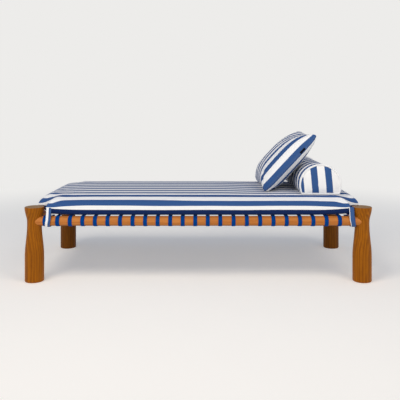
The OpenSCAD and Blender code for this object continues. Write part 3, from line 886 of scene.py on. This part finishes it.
class LOUNGER_OT_hardware(bpy.types.Operator):
    """Finishes the tacks, bolts, washers, nuts and glides"""

    bl_idname = "lounger.hardware"
    bl_label = "Hardware"
    bl_options = {"REGISTER", "UNDO"}

    def execute(self, context):
        c = colours()
        steel = worn_metal("bolt steel", c.metal, roughness=0.36)
        tack = worn_metal("tack steel", c.tack, roughness=0.45)
        glide = moulded("glide plastic", c.glide, scale=700.0, roughness=0.5, bump=0.2)
        foam = moulded("foam", c.foam, scale=900.0, roughness=0.9, bump=0.5)
        dress(steel, "bed_bolts", "bolt_washers", "barrel_nuts")
        dress(tack, "strap_tacks")
        dress(glide, "foot_glides")
        dress(foam, "mattress_core", "bolster_core", "cushion_core")
        return {"FINISHED"}


class LOUNGER_OT_webbing(bpy.types.Operator):
    """Makes the cross straps and the long straps that are woven through them"""

    bl_idname = "lounger.webbing"
    bl_label = "Webbing"
    bl_options = {"REGISTER", "UNDO"}

    def execute(self, context):
        s = sizes()
        blue = webbing_finish("webbing", colours().webbing)
        dress(blue, *CROSS_NODES, *LONG_NODES)
        for number, node in enumerate(CROSS_NODES):
            band(f"webbing_cross_{number + 1:02d}", cross_stations(middle(node).x), STRAP_W,
                 s.strap_t, blue, "frame", [node])
        for number, node in enumerate(LONG_NODES):
            band(f"webbing_long_{number + 1}", long_stations(middle(node).y, number), STRAP_W,
                 s.strap_t, blue, "frame", [node])
        return {"FINISHED"}


class LOUNGER_OT_ties(bpy.types.Operator):
    """Makes the four ties that hold the mattress to the side rails"""

    bl_idname = "lounger.ties"
    bl_label = "Ties"
    bl_options = {"REGISTER", "UNDO"}

    def execute(self, context):
        s = sizes()
        canvas = tie_finish()
        for corner in CORNERS:
            node = f"tie_{corner}"
            dress(canvas, node)
            head, back = corner.startswith("head"), corner.endswith("back")
            white = TIE_HEAD_WHITE if head else 0.0
            band(f"cloth_tie_{corner}", tie_stations(head, back), s.tie_w, s.tie_t, canvas,
                 "frame", [node], white)
        return {"FINISHED"}


# A point this close to a cut lies on it
ON_CUT = 0.0001


class LOUNGER_OT_mattress(bpy.types.Operator):
    """Makes the striped mattress, with its notched corners, its seam and its soft shoulder"""

    bl_idname = "lounger.mattress"
    bl_label = "Mattress"
    bl_options = {"REGISTER", "UNDO"}

    def execute(self, context):
        rings = mattress_rings()
        seam = next(k for k, ring in enumerate(rings) if ring[2] == 0)
        below = surplus(rings[:seam + 1])
        above = surplus(rings[:seam - 1:-1])[::-1]
        self.low_edge = MATTRESS.y + below[-1]
        bm, cloth, under, order = new_mesh()
        lines = [outline(ring[0]) for ring in rings]
        row, edges = first_ring(bm, order, len(lines[0]))
        bottom = edges
        for k, (ring, line) in enumerate(zip(rings, lines)):
            if k:
                row, edges = next_ring(bm, edges)
            added = above[k - seam] if k > seam else above[0]
            for vert in row:
                spot, out = line[vert[order]]
                across = spot.y * (1 + added / above[0] * self.given(spot))
                across -= self.pulled(spot, ring[0]) * (1 if spot.y > 0 else -1)
                way = math.hypot(ring[0], ring[1] - rings[seam][1]) * ring[2]
                vert[cloth] = (across, spot.x, way)
                vert[under] = spot.y * (1 + below[min(k, seam)] / MATTRESS.y)
                vert.co = self.place(spot, out, *ring)
        self.cap(bm, bottom, lines[0], cloth, under, every=3, side=-1)
        self.cap(bm, edges, lines[-1], cloth, under, every=1, side=1)
        for vert in bm.verts:
            if vert[cloth].z > 0:
                vert.co.z += self.crown(vert.co) * ramp(vert[cloth].z, 0, sizes().shoulder)
            vert.co.z = max(vert.co.z, MATTRESS_LOW)
        # The mattress's lower panels take the darker blue, as painted shade
        canvas = striped(
            "mattress canvas", blue_from_middle, self.stripes_under, colours().blue_painted_shade
        )
        piece = cover(bm, "mattress", canvas, "frame")
        subdivided(piece)
        return {"FINISHED"}

    def given(self, spot):
        """How much wider the cloth was, before it was sewn, than it lies at the seam. The cloth is
        cut narrower where the side seams run into the notches."""
        s = sizes()
        reach = s.lift_reach
        near = ramp(abs(spot.x) - LEG.x, -1.4 * reach, -0.3 * reach)
        near *= ramp(abs(spot.y) / MATTRESS.y, 0.88, 0.98)
        foot = ramp(spot.x, -0.2, -0.5) * (1 - near)
        return (s.flat_half + foot * s.flat_foot - near * s.flat_draw) / MATTRESS.y - 1

    def pulled(self, spot, step):
        """How far the cloth is pulled down over the shoulder, or up where less than 0. By a notch
        it goes down near the edge and up further in, and towards the foot there is spare cloth.
        across and off are shares of the half width, and up is a share of the shoulder."""
        s = sizes()
        across = abs(spot.y) / MATTRESS.y
        up = step / s.shoulder
        off = 1 - step / MATTRESS.y - across
        front = ramp(off, 0.18, 0)
        slack = front * ramp(spot.x, 0.05, -0.3) * ramp(up, 0, 0.27) * ramp(up, 0.6, 0.27)
        front *= ramp(across, 1.013, 0.968)
        inner = ramp(off, 0.09, 0.25) * ramp(off, 0.6, 0.35)
        near = ramp(abs(spot.x) - LEG.x, -0.8 * s.lift_reach, -0.3 * s.lift_reach)
        near *= ramp(up, 1, 0)
        return near * (front * s.flat_pull - inner * s.flat_rise) - slack * s.flat_slack

    def place(self, point, out, step, height, side):
        """Puts a point of a ring at its height, thinner by a notch, and moves it as sewn."""
        s = sizes()
        lift = seam_height(point.x, point.y) - MATTRESS_LOW - s.seam_h
        if side > 0:
            thin = near_notch(point.x, point.y, s.thin_reach) ** 1.5
            rise = MATTRESS_TOP - MATTRESS_LOW - s.seam_h
            up = min((1 + s.end_tight * abs(out.x) ** 3) * step / s.shoulder, 1)
            height = s.seam_h + rise * bulge(up, SHOULDER_ROUND - NOTCH_ROUND * thin)
        share = max(1 - step / (LIFT_SHARE * s.shoulder), 0)
        spot = Vector((point.x, point.y, MATTRESS_LOW + height + lift * share))
        moved = sewn(spot, out, abs(height - s.seam_h) + step, side)
        if height > s.seam_h * 0.5:
            moved.z += SEAM_WAVE * share * waves(point.x, point.y, 4.2, 1.5)
        return moved

    def cuts(self, line, axis, every):
        """Places of the cuts across one axis, through the points of the ring's straight sides."""
        reach = max(p[1 - axis] for p, _ in line)
        found = sorted(p[axis] for p, _ in line if p[1 - axis] > reach - 1e-6)[::every]
        pitch = found[1] - found[0]
        limit = max(p[axis] for p, _ in line)
        while found[-1] + 1.5 * pitch < limit:
            found = [-found[-1] - pitch, *found, found[-1] + pitch]
        return found

    def cap(self, bm, edges, line, cloth, under, every, side):
        """Closes a face of the mattress and cuts it into small squares."""
        old = set(bm.verts)
        region = list(bmesh.ops.contextual_create(bm, geom=edges)["faces"])
        for axis, normal in ((0, Vector((1, 0, 0))), (1, Vector((0, 1, 0)))):
            for at in self.cuts(line, axis, every):
                cut = [face for face in region if self.crosses(face, axis, at)]
                if not cut:
                    continue
                geom = list({v for f in cut for v in f.verts} | {e for f in cut for e in f.edges})
                found = bmesh.ops.bisect_plane(
                    bm, geom=geom + cut, dist=ON_CUT, plane_co=normal * at, plane_no=normal
                )["geom"]
                kept = {f for f in found if isinstance(f, bmesh.types.BMFace)}
                region = [f for f in region if f.is_valid and f not in kept] + list(kept)
        for vert in bm.verts:
            if vert not in old:
                vert[cloth] = (vert.co.y, vert.co.x, side * sizes().shoulder)
                vert[under] = vert.co.y

    def crosses(self, face, axis, at):
        """Whether a cut goes through the face."""
        low = min(v.co[axis] for v in face.verts)
        high = max(v.co[axis] for v in face.verts)
        return low < at - ON_CUT and high > at + ON_CUT

    def crown(self, spot):
        """The mattress is a little full, and flat under the bolster and the cushion."""
        across = max(1 - (spot.y / MATTRESS.y) ** 2, 0)
        along = ramp(spot.x, 0.37, 0.12) * ramp(spot.x, -MATTRESS.x, 0.3 - MATTRESS.x)
        return sizes().crown * along * across

    def stripes_under(self, cloth, u, s):
        """The lower panel starts with a blue stripe at the seam."""
        from_seam = cloth.less(self.low_edge, cloth.math("ABSOLUTE", u))
        return blue_from(0.0)(cloth, from_seam, s)


# Steps round the bolster, across its flat base and along it, and those by its sewn ends
BOLSTER_AROUND = 64
BOLSTER_BASE = 12
BOLSTER_ALONG = 40
BOLSTER_SEWN = (0.0025, 0.008, 0.018, 0.032)
BOLSTER_PLAIN = 0.045
# Its end panels from their edge to their middle, as shares of the section and of the dome
BOLSTER_END = (
    (0.975, 0.08), (0.92, 0.24), (0.82, 0.44), (0.68, 0.64), (0.5, 0.82), (0.3, 0.94), (0.12, 1.0)
)
# How much the end panels' stripes lean, and the height at which they are in the middle
END_LEAN = 0.083
END_LEVEL = 0.649
# How deep its folds are and how far they reach from its ends, how far its body lies inside the
# full round before it is filled, and how uneven it is
BOLSTER_FOLD = 0.0035
FOLD_REACH = 0.024
BOLSTER_EASE = 0.0026
BOLSTER_SOFT = 0.0016


class LOUNGER_OT_bolster(bpy.types.Operator):
    """Makes the striped bolster with its flat base, its end panels and their piping"""

    bl_idname = "lounger.bolster"
    bl_label = "Bolster"
    bl_options = {"REGISTER", "UNDO"}

    def execute(self, context):
        s = sizes()
        low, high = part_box("bolster_cover")
        front, back = low.y + s.bolster_dome, high.y - s.bolster_dome
        bm, cloth, under, order = new_mesh()
        row, edges = first_ring(bm, order, len(self.section(1.0)))
        first = edges
        rings = self.rings(front, back)
        for k, (y, share, side) in enumerate(rings):
            if k:
                row, edges = next_ring(bm, edges)
            section = self.section(share)
            for vert in row:
                x, z = section[vert[order]]
                end = min(abs(y - front), abs(back - y))
                if side > 0:
                    x, z = self.creased(x, z, y, end)
                vert.co = (BOLSTER.x + x, y, BOLSTER_AXIS + z)
                around = (vert[order] / len(row)) * math.tau * BOLSTER_R
                way = end if side > 0 else (share - 1) * BOLSTER_R
                vert[cloth] = (y - front, around, way)
                vert[under] = self.across_end(vert.co)
        for ring in (first, edges):
            self.close(bm, ring, cloth, under)
        bm.verts.index_update()
        # The end panels, their seams and the base stay where they are
        pins = {
            v.index: float(v[cloth].z <= 0.001 or v.co.z < BOLSTER_LOW + 0.004) for v in bm.verts
        }
        canvas = striped(
            "bolster canvas", blue_from(s.stripe - s.stripe_blue), self.ends, colours().blue
        )
        piece = cover(bm, "bolster", canvas, "bolster")
        stuffed(piece, pins, limit=0.006, hold=self.keep)
        white = plain_canvas("bolster piping", colours().white)
        for name, y in (("front", front), ("back", back)):
            self.piping(f"bolster_piping_{name}", y, white)
        return {"FINISHED"}

    def rings(self, front, back):
        """Places along the bolster, each with its share of the full section and 1 on the body
        or -1 on an end panel."""
        s = sizes()
        full = 1 - s.bolster_draw / BOLSTER_R
        step = (back - front - 2 * BOLSTER_PLAIN) / BOLSTER_ALONG
        places = [front + d for d in BOLSTER_SEWN]
        places += [front + BOLSTER_PLAIN + step * k for k in range(BOLSTER_ALONG + 1)]
        places += [back - d for d in reversed(BOLSTER_SEWN)]
        panel = [(s.bolster_dome * up, full * share) for share, up in BOLSTER_END]
        return [
            *((front - out, share, -1) for out, share in reversed(panel)),
            (front, full, 0),
            *((y, 1.0, 1) for y in places),
            (back, full, 0),
            *((back + out, share, -1) for out, share in panel),
        ]

    def section(self, share):
        """The section as steps from the axis: a circle cut by the flat base."""
        radius = BOLSTER_R * share
        level = (BOLSTER_LOW - BOLSTER_AXIS) * share
        dip = math.asin(-level / radius)
        points = []
        for k in range(BOLSTER_AROUND + 1):
            turn = math.pi + dip - (math.pi + 2 * dip) * k / BOLSTER_AROUND
            points.append((radius * math.cos(turn), radius * math.sin(turn)))
        reach = radius * math.cos(dip)
        points += [(reach * (1 - 2 * k / BOLSTER_BASE), level) for k in range(1, BOLSTER_BASE)]
        return points

    def creased(self, x, z, y, end):
        """Pulls the body in a little by its sewn ends, with short folds, and keeps it soft."""
        turn = math.atan2(z, x)
        fold = waves(math.cos(turn), math.sin(turn), 11, 3.0 + y)
        soft = waves(math.cos(turn), math.sin(turn), 2.2, 7.0 * y)
        near = (BOLSTER_FOLD * abs(fold) + sizes().bolster_draw) * math.exp(-end / FOLD_REACH)
        share = 1 - (near + BOLSTER_EASE + BOLSTER_SOFT * soft) / BOLSTER_R
        return x * share, max(z * share, BOLSTER_LOW - BOLSTER_AXIS)

    def close(self, bm, ring, cloth, under):
        """Fills the middle of an end panel with rings of faces round one point."""
        verts = {v for e in ring for v in e.verts}
        centre = sum((v.co for v in verts), Vector()) / len(verts)
        face = bmesh.ops.contextual_create(bm, geom=ring)["faces"]
        made = bmesh.ops.poke(bm, faces=face)["verts"][0]
        made.co = Vector((BOLSTER.x, centre.y, centre.z))
        made[cloth] = (made.co.y, 0.0, -BOLSTER_R)
        made[under] = self.across_end(made.co)

    def across_end(self, place):
        """The place across the stripes of an end panel."""
        return place.x - BOLSTER.x + END_LEAN * (place.z - END_LEVEL)

    def keep(self, vert):
        """Holds a point of the body inside the round that the cushion rests on."""
        off = Vector((vert.co.x - BOLSTER.x, vert.co.z - BOLSTER_AXIS))
        if off.length > BOLSTER_R:
            off *= BOLSTER_R / off.length
        vert.co.x = BOLSTER.x + off.x
        vert.co.z = max(BOLSTER_AXIS + off.y, BOLSTER_LOW)

    def piping(self, name, y, white):
        """A cord in white cloth round one end, a little outside the drawn-in seam."""
        s = sizes()
        line = []
        for x, z in self.section(1.0 - (s.bolster_draw - 0.3 * s.piping_r) / BOLSTER_R):
            z = max(z, BOLSTER_LOW - BOLSTER_AXIS + s.piping_r)
            line.append(Vector((BOLSTER.x + x, y, BOLSTER_AXIS + z)))
        cord_round(name, line, s.piping_r, white, "bolster")

    def ends(self, cloth, u, s):
        """The end panels have a white stripe down the middle."""
        return blue_from_middle(cloth, cloth.plus(u, 0.5 * s.stripe), s)


# Steps of the cushion's grid, and where the first blue stripe starts on the face that rests
CUSHION_STEPS = 48
CUSHION_UNDER = 0.055
# Folds at the cushion's corners, and the puckers along its seam: how high, and how far they reach
CORNER_FOLD = 0.0034
CORNER_REACH = 0.075
SEAM_PUCKER = 0.0016
SEAM_REACH = 0.07
# How far the stripes are drawn together at the upper end, and how far those of the face that
# rests slip by its ends
TOP_PULL = 0.9
UNDER_SLIP = 0.012
# Room between the cushion and the bolster, past the bolster's ends, and over the mattress
CUSHION_ROOM = 0.001
END_ROOM = 0.005
LOW_ROOM = 0.0008
# The label's thickness, and how far its middle stands outside the seam
LABEL_T = 0.0012
LABEL_OUT = 0.0016


class LOUNGER_OT_cushion(bpy.types.Operator):
    """Makes the striped scatter cushion with its sewn edge and the blank label in its seam"""

    bl_idname = "lounger.cushion"
    bl_label = "Cushion"
    bl_options = {"REGISTER", "UNDO"}

    def execute(self, context):
        s = sizes()
        self.along = Vector((math.cos(s.cushion_lean), 0, math.sin(s.cushion_lean)))
        self.out = Vector((-math.sin(s.cushion_lean), 0, math.cos(s.cushion_lean)))
        self.flats = [self.flat(side) for side in (1, -1)]
        bm, cloth, under, _ = new_mesh()
        for side in (1, -1):
            old = set(bm.verts)
            bmesh.ops.create_grid(bm, x_segments=CUSHION_STEPS, y_segments=CUSHION_STEPS, size=1)
            rows = {}
            for vert in bm.verts:
                if vert not in old:
                    rows.setdefault(round(vert.co.y, 5), []).append(vert)
            for row in rows.values():
                self.shape(sorted(row, key=lambda v: v.co.x), side, cloth, under)
        bmesh.ops.remove_doubles(bm, verts=bm.verts, dist=1e-5)
        bm.verts.index_update()
        pins = {v.index: float(v[cloth].z == 0) for v in bm.verts}
        canvas = striped(
            "cushion canvas", blue_from(0.0), blue_from(CUSHION_UNDER), colours().blue
        )
        piece = cover(bm, "cushion", canvas, "cushion")
        stuffed(piece, pins, limit=0.022, hold=self.keep_clear)
        self.label()
        return {"FINISHED"}

    def spread(self, t):
        """Draws the lines of the grid together towards the seam."""
        return 0.35 * t + 0.65 * math.sin(math.pi / 2 * t)

    def seam_off(self, a, b):
        """How far the cushion's edge hangs below its plane. It hangs least at the corners."""
        return -sizes().cushion_sag * (1 - abs(a) ** 6 * abs(b) ** 6)

    def spot(self, a, b, side):
        """A place on the cushion: across the bed, up its slope and out of its plane."""
        s = sizes()
        blunt = s.cushion_blunt * (a * b) ** 8
        across = a * (s.cushion_w / 2 - s.cushion_draw * (1 - b * b) - blunt)
        up = b * (s.cushion_l / 2 - s.cushion_draw * (1 - a * a) - blunt)
        crown = self.crown(a, b, side)
        full = s.cushion_rise if side > 0 else -s.cushion_drop
        rise = full * crown + self.seam_off(a, b) * (1 - crown) * max(a * a, b * b)
        rise += side * self.folds(across, up, a, b)
        return CUSHION + Vector((0, across, 0)) + up * self.along + rise * self.out

    def crown(self, a, b, side):
        """The share of the full rise. The filling has sunk, so the upper end is slack, and the
        face that rests on the bolster is shallow by its side seams."""
        across = dome(a, 3.3, 0.38) if side > 0 else dome(a, 2, 0.6)
        if b > 0:
            return across * dome(b, 2.4, 0.9 - 0.58 * a * a)
        return across * dome(b, 3, 0.45 - 0.13 * a * a)

    def folds(self, across, up, a, b):
        """Short folds that run in from the corners, and small puckers along the seam."""
        s = sizes()
        edge = min(1 - abs(a), 1 - abs(b))
        if edge <= 0:
            return 0.0
        from_corner = Vector((s.cushion_w / 2 - abs(across), s.cushion_l / 2 - abs(up)))
        turn = math.atan2(from_corner.y, from_corner.x)
        far = from_corner.length
        which = 1.7 * (a > 0) + 2.9 * (b > 0)
        corner = CORNER_FOLD * math.cos(13 * turn + which) * math.exp(-far / CORNER_REACH)
        small = SEAM_PUCKER * waves(across, up, 42, which) * math.exp(-edge / SEAM_REACH)
        return (corner + small) * min(edge / 0.03, 1.0)

    def shape(self, row, side, cloth, under):
        """Places one row of the grid, and measures the cloth across it."""
        s = sizes()
        b = self.spread(row[0].co.y)
        run = [0.0]
        shares = [self.spread(vert.co.x) for vert in row]
        places = [self.spot(a, b, side) for a in shares]
        for p, q in zip(places, places[1:]):
            run.append(run[-1] + (q - p).length)
        edge = abs(b) > 0.9999
        for vert, a, place, way in zip(row, shares, places, run):
            sewn_edge = edge or abs(a) > 0.9999
            vert.co = place
            near = min(1 - abs(a), 1 - abs(b)) * s.cushion_w / 2
            share = way / run[-1]
            pull = TOP_PULL * max(b, 0) ** 5 * math.sin(math.tau * share) / math.tau
            place_up, place_under = (flat * (share + pull) for flat in self.flats)
            vert[cloth] = (place_up, b * s.cushion_l / 2, 0.0 if sewn_edge else side * near)
            vert[under] = place_under - UNDER_SLIP * abs(b) ** 6

    def flat(self, side):
        """The width of a panel, measured over the middle of the cushion."""
        points = [self.spot(self.spread(k / 12 - 1), 0.0, side) for k in range(25)]
        return sum((q - p).length for p, q in zip(points, points[1:]))

    def keep_clear(self, vert):
        """Holds the cushion off the bolster and the mattress that it leans on."""
        off = Vector((vert.co.x - BOLSTER.x, vert.co.z - BOLSTER_AXIS))
        reach = BOLSTER_R + CUSHION_ROOM
        inside = abs(vert.co.y - BOLSTER.y) < BOLSTER_HALF + END_ROOM
        if inside and off.length < reach:
            off *= reach / off.length
            vert.co.x = BOLSTER.x + off.x
            vert.co.z = BOLSTER_AXIS + off.y
        vert.co.z = max(vert.co.z, MATTRESS_TOP + LOW_ROOM)

    def label(self):
        """The blank label, sewn into the front seam."""
        s = sizes()
        stations = []
        for k in range(9):
            up = s.label_up + s.label_l * (k / 8 - 0.5)
            b = up / (s.cushion_l / 2 - s.cushion_draw)
            edge = s.cushion_w / 2 - s.cushion_draw * (1 - b * b) + LABEL_OUT
            middle_off = self.seam_off(1, b) + 0.45 * s.label_h
            stations.append(
                CUSHION + Vector((0, -edge, 0)) + up * self.along + middle_off * self.out
            )
        dark = webbing_finish("label weave", colours().label)
        dress(dark, "cushion_tag")
        band("cushion_label", stations_of(stations, self.out), s.label_h, LABEL_T, dark,
             "cushion", ["cushion_tag"])


# The lamps, with their places and power, how wide they are and where they are turned to
LAMPS = (("key", (-1.7, -2.5, 3.9), 76.0), ("fill", (2.0, -2.5, 3.4), 38.0))
LAMP_SIZE = 2.2
LAMP_AIM = Vector((0, 0, 0.35))
# The camera as fitted to the photograph. The lens and its sensor are in millimetres
CAMERA_PLACE = (0.040, -3.596, 0.978)
CAMERA_LENS = 49.86
CAMERA_SENSOR = 36.0
CAMERA_SHIFT = (-0.013, -0.2215)


class LOUNGER_OT_stage(bpy.types.Operator):
    """Makes the studio: a pale floor, even light, the lamps and the camera"""

    bl_idname = "lounger.stage"
    bl_label = "Studio"
    bl_options = {"REGISTER", "UNDO"}

    def execute(self, context):
        c = colours()
        paper = Finish("studio paper", Roughness=0.9, Specular_IOR_Level=0.0)
        place = paper.place()
        mottle = paper.noise(place, scale=3.0, detail=2.0)
        tone = paper.varied(mottle, c.floor, dark=0.985, most=0.5)
        # The paper glows a little, and far off it turns into the backdrop
        away = paper.node("VectorMath", {0: place}, "Value", operation="LENGTH")
        far = paper.span(away, 1.5, 4.2, kind="SMOOTHSTEP")
        paper.link(c.backdrop, paper.shader.inputs["Emission Color"])
        glow = paper.plus(paper.times(far, 0.7), 0.3)
        paper.link(glow, paper.shader.inputs["Emission Strength"])
        material = paper.finish(paper.mix(far, tone, [0.0, 0.0, 0.0]))
        self.floor(material)
        self.world(c.backdrop, c.overhead)
        for name, place, power in LAMPS:
            self.lamp(name, place, power)
        self.camera()
        return {"FINISHED"}

    def floor(self, material):
        """A round sheet of paper, much larger than the bed."""
        bm = bmesh.new()
        bmesh.ops.create_circle(bm, cap_ends=True, segments=96, radius=30.0)
        mesh = bpy.data.meshes.new("studio_floor")
        bm.to_mesh(mesh)
        bm.free()
        floor = bpy.data.objects.new("studio_floor", mesh)
        mesh.materials.append(material)
        bpy.context.scene.collection.objects.link(floor)
        return floor

    def world(self, seen, overhead):
        """The backdrop's light all round, bluer and dimmer from overhead, and dimmer from behind,
        which the camera doesn't see."""
        world = bpy.data.worlds.new("studio")
        bpy.context.scene.world = world
        world.use_nodes = True
        sky = Wiring(world.node_tree)
        _, back, up = sky.parts(sky.node("TexCoord", {}, "Generated"))
        lit = sky.mix(sky.span(up, 0.22, 0.7), seen, overhead)
        lit = sky.mix(1.0, lit, sky.span(back, -0.2, 0.7, 1.0, 0.45), "MULTIPLY")
        shown = sky.mix(sky.node("LightPath", {}, "Is Camera Ray"), lit, seen)
        sky.link(shown, sky.tree.nodes["Background"].inputs["Color"])

    def lamp(self, name, place, power):
        """A round soft lamp, turned to the bed."""
        light = bpy.data.lights.new(name, "AREA")
        light.shape = "DISK"
        light.size = LAMP_SIZE
        light.energy = power
        light.color = colours().lamp
        lamp = bpy.data.objects.new(name, light)
        bpy.context.scene.collection.objects.link(lamp)
        lamp.location = place
        aim = LAMP_AIM - Vector(place)
        lamp.rotation_euler = aim.to_track_quat("-Z", "Y").to_euler()

    def camera(self):
        """A level camera in front of the bed, shifted so that its verticals stay upright."""
        data = bpy.data.cameras.new("camera")
        data.lens = CAMERA_LENS
        data.sensor_width = CAMERA_SENSOR
        data.shift_x, data.shift_y = CAMERA_SHIFT
        camera = bpy.data.objects.new("camera", data)
        bpy.context.scene.collection.objects.link(camera)
        camera.location = CAMERA_PLACE
        camera.rotation_euler = (math.pi / 2, 0, 0)
        bpy.context.scene.camera = camera
        bpy.context.scene.view_settings.view_transform = "Standard"


STEPS = (
    LOUNGER_OT_wood, LOUNGER_OT_hardware, LOUNGER_OT_webbing, LOUNGER_OT_ties,
    LOUNGER_OT_mattress, LOUNGER_OT_bolster, LOUNGER_OT_cushion, LOUNGER_OT_stage,
)


class VIEW3D_PT_lounger(bpy.types.Panel):
    """Lists the steps that dress the lounger"""

    bl_label = "Sun lounger"
    bl_space_type = "VIEW_3D"
    bl_region_type = "UI"
    bl_category = "Lounger"

    def draw(self, context):
        for step in STEPS:
            self.layout.operator(step.bl_idname)
        for group in (context.scene.lounger_sizes, context.scene.lounger_colours):
            for name in group.__annotations__:
                self.layout.prop(group, name)


CLASSES = (LoungerSizes, LoungerColours, *STEPS, VIEW3D_PT_lounger)


def register():
    for each in CLASSES:
        bpy.utils.register_class(each)
    bpy.types.Scene.lounger_sizes = PointerProperty(type=LoungerSizes)
    bpy.types.Scene.lounger_colours = PointerProperty(type=LoungerColours)


def unregister():
    del bpy.types.Scene.lounger_colours
    del bpy.types.Scene.lounger_sizes
    for each in reversed(CLASSES):
        bpy.utils.unregister_class(each)


def main():
    register()
    for step in STEPS:
        getattr(bpy.ops.lounger, step.bl_idname.split(".")[1])()


if __name__ == "__main__":
    main()
